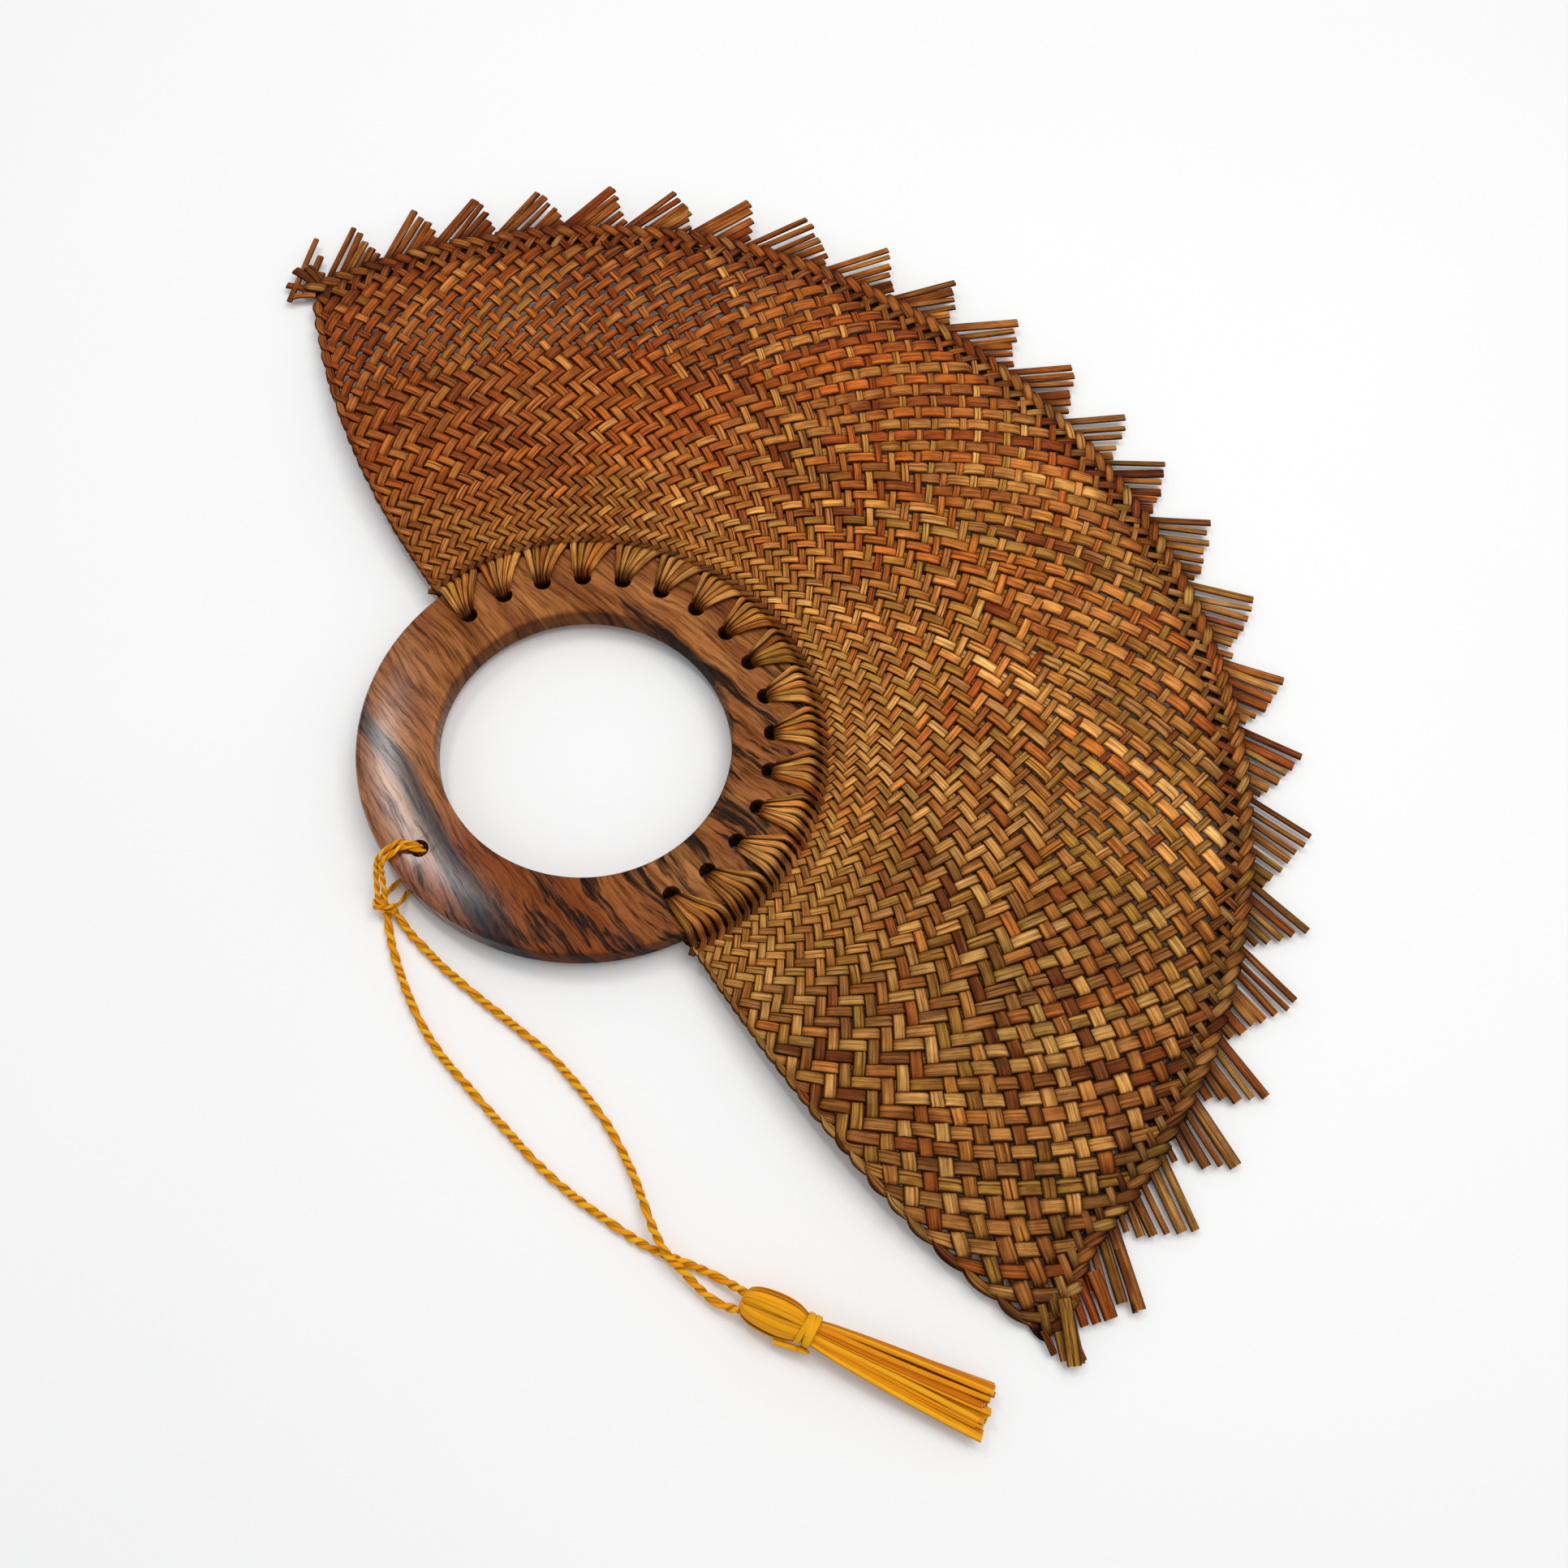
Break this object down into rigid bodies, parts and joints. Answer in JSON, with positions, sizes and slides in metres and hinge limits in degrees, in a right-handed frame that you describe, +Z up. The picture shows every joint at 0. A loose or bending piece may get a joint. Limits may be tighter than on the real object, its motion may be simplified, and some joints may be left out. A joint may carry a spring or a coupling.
{
  "type": "woven hand fan",
  "caption": "Half-round hand fan of woven reed with a plaited border and saw-tooth fringe, laced to a wooden ring handle with a raffia tassel on a cord loop.",
  "frame": {"origin": "on the table, under the middle of the fan's box, without the cord and its tassel", "axes": "+X along the fan's span to its right tip, +Y from the ring to the crown of the fringe, +Z up from the table, along the ring's axis"},
  "size_m": [0.3292, 0.2285, 0.0105],
  "materials": {
    "ring_wood": "waxed, dark streaks",
    "lacing_reed": "dry reed, slight sheen",
    "woven_reed": "dry reed, slight sheen",
    "fringe_reed": "dry reed, cut ends",
    "dyed_raffia": "dyed raffia, satin"
  },
  "bodies": {
    "fan": {"ring_handle": "ring_wood", "lacing_01": "lacing_reed", "lacing_02": "lacing_reed", "lacing_03": "lacing_reed", "lacing_04": "lacing_reed", "lacing_05": "lacing_reed", "lacing_06": "lacing_reed", "lacing_07": "lacing_reed", "lacing_08": "lacing_reed", "lacing_09": "lacing_reed", "lacing_10": "lacing_reed", "lacing_11": "lacing_reed", "lacing_12": "lacing_reed", "lacing_13": "lacing_reed", "lacing_14": "lacing_reed", "lacing_15": "lacing_reed", "lacing_16": "lacing_reed", "woven_blade": "woven_reed", "selvedge_left": "woven_reed", "selvedge_right": "woven_reed", "border_plait": "woven_reed", "fringe_tuft_01": "fringe_reed", "fringe_tuft_02": "fringe_reed", "fringe_tuft_03": "fringe_reed", "fringe_tuft_04": "fringe_reed", "fringe_tuft_05": "fringe_reed", "fringe_tuft_06": "fringe_reed", "fringe_tuft_07": "fringe_reed", "fringe_tuft_08": "fringe_reed", "fringe_tuft_09": "fringe_reed", "fringe_tuft_10": "fringe_reed", "fringe_tuft_11": "fringe_reed", "fringe_tuft_12": "fringe_reed", "fringe_tuft_13": "fringe_reed", "fringe_tuft_14": "fringe_reed", "fringe_tuft_15": "fringe_reed", "fringe_tuft_16": "fringe_reed", "fringe_tuft_17": "fringe_reed", "fringe_tuft_18": "fringe_reed", "fringe_tuft_19": "fringe_reed", "fringe_tuft_20": "fringe_reed", "fringe_tuft_21": "fringe_reed", "fringe_tuft_22": "fringe_reed", "fringe_tuft_23": "fringe_reed", "fringe_tuft_24": "fringe_reed", "fringe_tuft_25": "fringe_reed", "fringe_tuft_26": "fringe_reed", "fringe_tuft_27": "fringe_reed", "tassel_hitch": "dyed_raffia"},
    "cord_loop": {"cord_leg_left": "dyed_raffia", "cord_leg_right": "dyed_raffia"},
    "tassel": {"tassel_head": "dyed_raffia", "tassel_binding": "dyed_raffia", "tassel_skirt": "dyed_raffia"}
  },
  "joints": [
    {"name": "cord_swing", "type": "hinge", "parent": "fan", "child": "cord_loop", "pos_m": [0.00731, -0.11269, 0.0011], "axis": [0, 0, 1], "range_deg": [-105, 1.5]},
    {"name": "tassel_swing", "type": "hinge", "parent": "cord_loop", "child": "tassel", "pos_m": [0.11911, -0.09529, 0.0042], "axis": [0, 0, 1], "range_deg": [-60, 3]}
  ]
}
